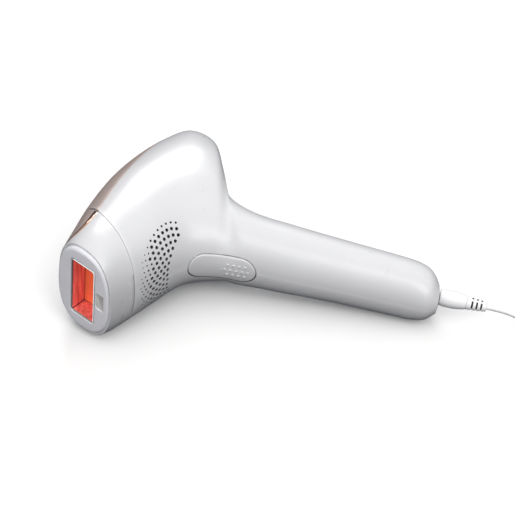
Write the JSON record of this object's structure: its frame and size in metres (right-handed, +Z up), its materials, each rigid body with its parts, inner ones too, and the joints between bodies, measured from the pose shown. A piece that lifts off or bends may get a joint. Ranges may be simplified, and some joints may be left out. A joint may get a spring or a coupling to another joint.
{
  "type": "pulsed-light hair remover",
  "caption": "Handheld pulsed-light hair remover lying on its side: casing with angled handle, pull-off treatment head, trigger, rear control panel, plug-in lead and mains adapter.",
  "frame": {"origin": "bottom centre of the device's box, on the table it lies on, its lead and adapter left out", "axes": "+X from the head towards the end of the handle, +Y from the treatment window towards the rear of the head, +Z up from the table; the device lies on its right side, tilted 6.9 degrees about Y so that head and handle end both rest"},
  "size_m": [0.359, 0.1823, 0.0675],
  "materials": {
    "pearl_plastic": "pearl satin, faintly speckled",
    "rose_trim": "satin rose gold",
    "lilac_plastic": "satin",
    "bright_metal": "polished",
    "steel": "bright",
    "red_glass": "polished",
    "clear_glass": "polished",
    "black_plastic": "fine texture",
    "grey_plastic": "satin",
    "aluminium": "extruded",
    "circuit_board": "varnished",
    "cable_white": "soft matt"
  },
  "bodies": {
    "casing": {"left_shell": "pearl_plastic", "right_shell": "pearl_plastic", "top_trim": "rose_trim", "control_panel": "lilac_plastic", "reflector": "bright_metal", "trigger_spring": "steel", "trigger_pin": "steel", "board_screw_1": "steel", "board_screw_2": "steel", "socket_pin": "steel", "adapter_pin_1": "steel", "adapter_pin_2": "steel", "filter_glass": "red_glass", "flash_lamp": "clear_glass", "level_light_1": "clear_glass", "level_light_2": "clear_glass", "level_light_3": "clear_glass", "level_light_4": "clear_glass", "level_light_5": "clear_glass", "ready_light": "clear_glass", "nose_housing": "black_plastic", "fan_frame": "black_plastic", "main_capacitor": "black_plastic", "filter_capacitor": "black_plastic", "trigger_switch": "black_plastic", "power_socket": "black_plastic", "lamp_holder_left": "grey_plastic", "lamp_holder_right": "grey_plastic", "trigger_bracket": "grey_plastic", "transformer": "grey_plastic", "heat_sink": "aluminium", "control_board": "circuit_board", "main_board": "circuit_board", "plug": "cable_white", "strain_relief": "cable_white", "cord": "cable_white", "cord_tail": "cable_white", "cord_coil": "cable_white", "adapter_body": "cable_white", "adapter_relief": "cable_white"},
    "attachment": {"attachment_shell": "pearl_plastic", "attachment_trim": "rose_trim", "window_frame": "bright_metal"},
    "contact_face": {"contact_ring": "lilac_plastic", "skin_sensor_window": "clear_glass", "ring_spring_1": "steel", "ring_spring_2": "steel"},
    "trigger": {"trigger_button": "pearl_plastic"},
    "power_key": {"power_button": "pearl_plastic"},
    "select_key": {"select_button": "pearl_plastic"},
    "fan": {"fan_rotor": "black_plastic"}
  },
  "joints": [
    {"name": "attachment_pull", "type": "slide", "parent": "casing", "child": "attachment", "axis": [0, -1, 0], "range_m": [0, 0.045]},
    {"name": "ring_press", "type": "slide", "parent": "attachment", "child": "contact_face", "axis": [0, 1, 0], "range_m": [0, 0.001], "stiffness_N_per_m": 900, "springref_m": -0.0006},
    {"name": "trigger_press", "type": "hinge", "parent": "casing", "child": "trigger", "pos_m": [-0.02382, -0.01198, 0.02971], "axis": [0.1201, 0, 0.9928], "range_deg": [0, 1.9], "stiffness_Nm_per_rad": 1.2, "springref_deg": -1.72},
    {"name": "power_press", "type": "slide", "parent": "casing", "child": "power_key", "axis": [-0.6734, -0.7348, 0.0815], "range_m": [0, 0.0006], "stiffness_N_per_m": 1200, "springref_m": -0.0005},
    {"name": "select_press", "type": "slide", "parent": "casing", "child": "select_key", "axis": [-0.336, -0.941, 0.0407], "range_m": [0, 0.0006], "stiffness_N_per_m": 1200, "springref_m": -0.0005},
    {"name": "fan_spin", "type": "hinge", "parent": "casing", "child": "fan", "pos_m": [-0.05983, -0.0179, 0.03407], "axis": [0, 1, 0], "continuous": true}
  ]
}
